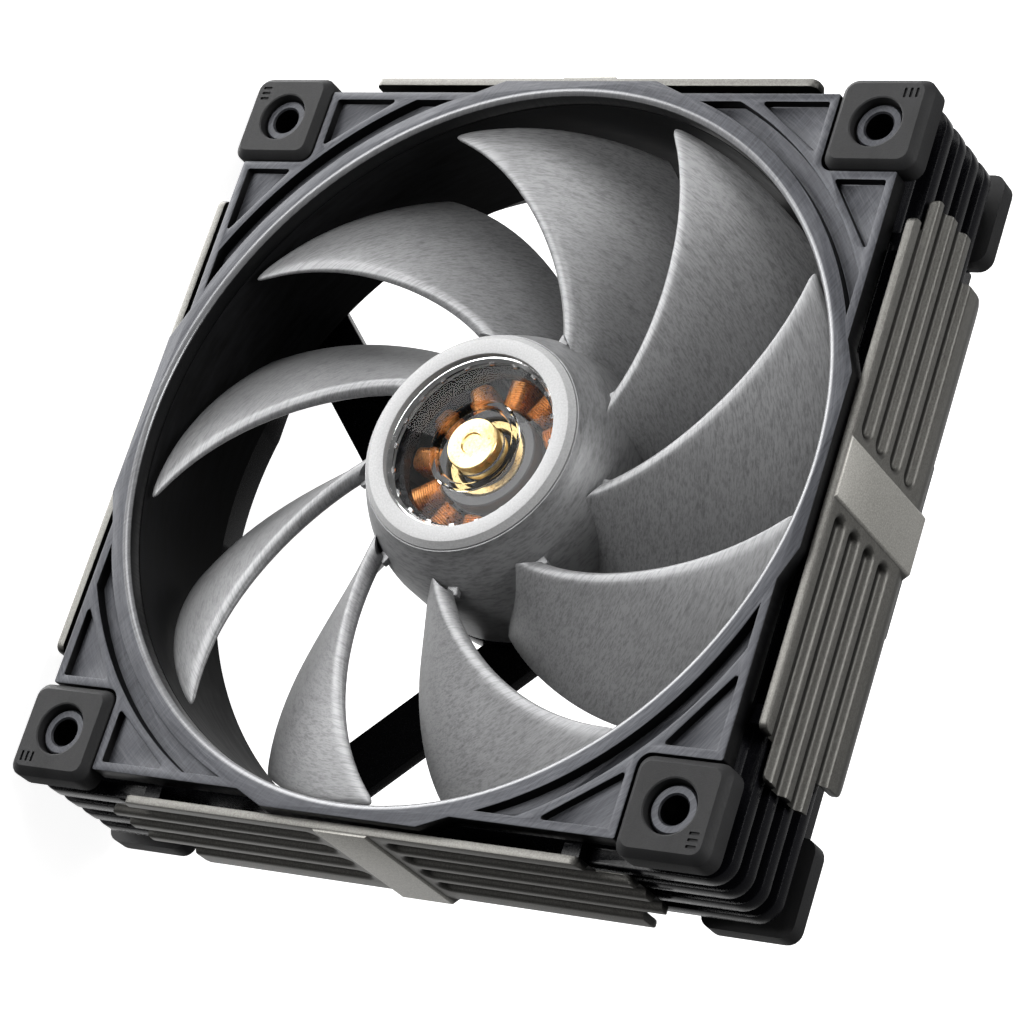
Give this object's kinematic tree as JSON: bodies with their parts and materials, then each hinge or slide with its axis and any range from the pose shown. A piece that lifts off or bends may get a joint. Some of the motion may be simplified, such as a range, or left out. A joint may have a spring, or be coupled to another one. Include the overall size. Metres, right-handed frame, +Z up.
{
  "type": "case fan",
  "caption": "Square computer case fan with rubber corner pads, grooved side plates, a curved-blade impeller on an open motor hub and a strutted outlet.",
  "frame": {"origin": "the middle of the lower side plate's raised band, which the fan stands on, midway between the front and the rear pads", "axes": "+Z up from the lower side plate to the upper one, +Y from the intake face to the outlet, +X to the right side seen from the intake"},
  "size_m": [0.1236, 0.0318, 0.1236],
  "materials": {
    "bezel_plastic": "brushed sheen, dark grey",
    "frame_plastic": "fine matt",
    "pad_rubber": "fine grain, matt",
    "plate_metal": "fine-grained champagne grey",
    "blade_plastic": "smooth satin, metallic grey",
    "ring_satin": "satin",
    "window_clear": "clear, glossy",
    "brass": "turned, glossy",
    "core_steel": "plain",
    "copper_wire": "enamelled wire",
    "ferrite": "matt, bonded ferrite",
    "insulator_plastic": "smooth",
    "board_laminate": "solder mask",
    "chip_resin": "moulded resin"
  },
  "bodies": {
    "frame": {"front_bezel": "bezel_plastic", "main_frame": "frame_plastic", "front_pad_1": "pad_rubber", "front_pad_2": "pad_rubber", "front_pad_3": "pad_rubber", "front_pad_4": "pad_rubber", "rear_pad_1": "pad_rubber", "rear_pad_2": "pad_rubber", "rear_pad_3": "pad_rubber", "rear_pad_4": "pad_rubber", "side_plate_1": "plate_metal", "side_plate_2": "plate_metal", "side_plate_3": "plate_metal", "side_plate_4": "plate_metal", "bearing_tube": "brass", "bearing_sleeve": "brass", "oil_seal": "pad_rubber", "thrust_pad": "insulator_plastic", "stator_core": "core_steel", "coil_01": "copper_wire", "coil_02": "copper_wire", "coil_03": "copper_wire", "coil_04": "copper_wire", "coil_05": "copper_wire", "coil_06": "copper_wire", "coil_07": "copper_wire", "coil_08": "copper_wire", "coil_09": "copper_wire", "coil_10": "copper_wire", "coil_11": "copper_wire", "coil_12": "copper_wire", "upper_insulator": "insulator_plastic", "lower_insulator": "insulator_plastic", "circuit_board": "board_laminate", "driver_chip": "chip_resin", "hall_sensor": "chip_resin", "motor_cover": "bezel_plastic"},
    "rotor": {"impeller": "blade_plastic", "hub_ring": "ring_satin", "hub_window": "window_clear", "shaft_insert": "brass", "rotor_shaft": "core_steel", "rotor_yoke": "core_steel", "rotor_magnet": "ferrite", "shaft_clip": "core_steel"}
  },
  "joints": [
    {"name": "rotor_spin", "type": "hinge", "parent": "frame", "child": "rotor", "pos_m": [0, 0, 0.0618], "axis": [0, -1, 0], "continuous": true}
  ]
}
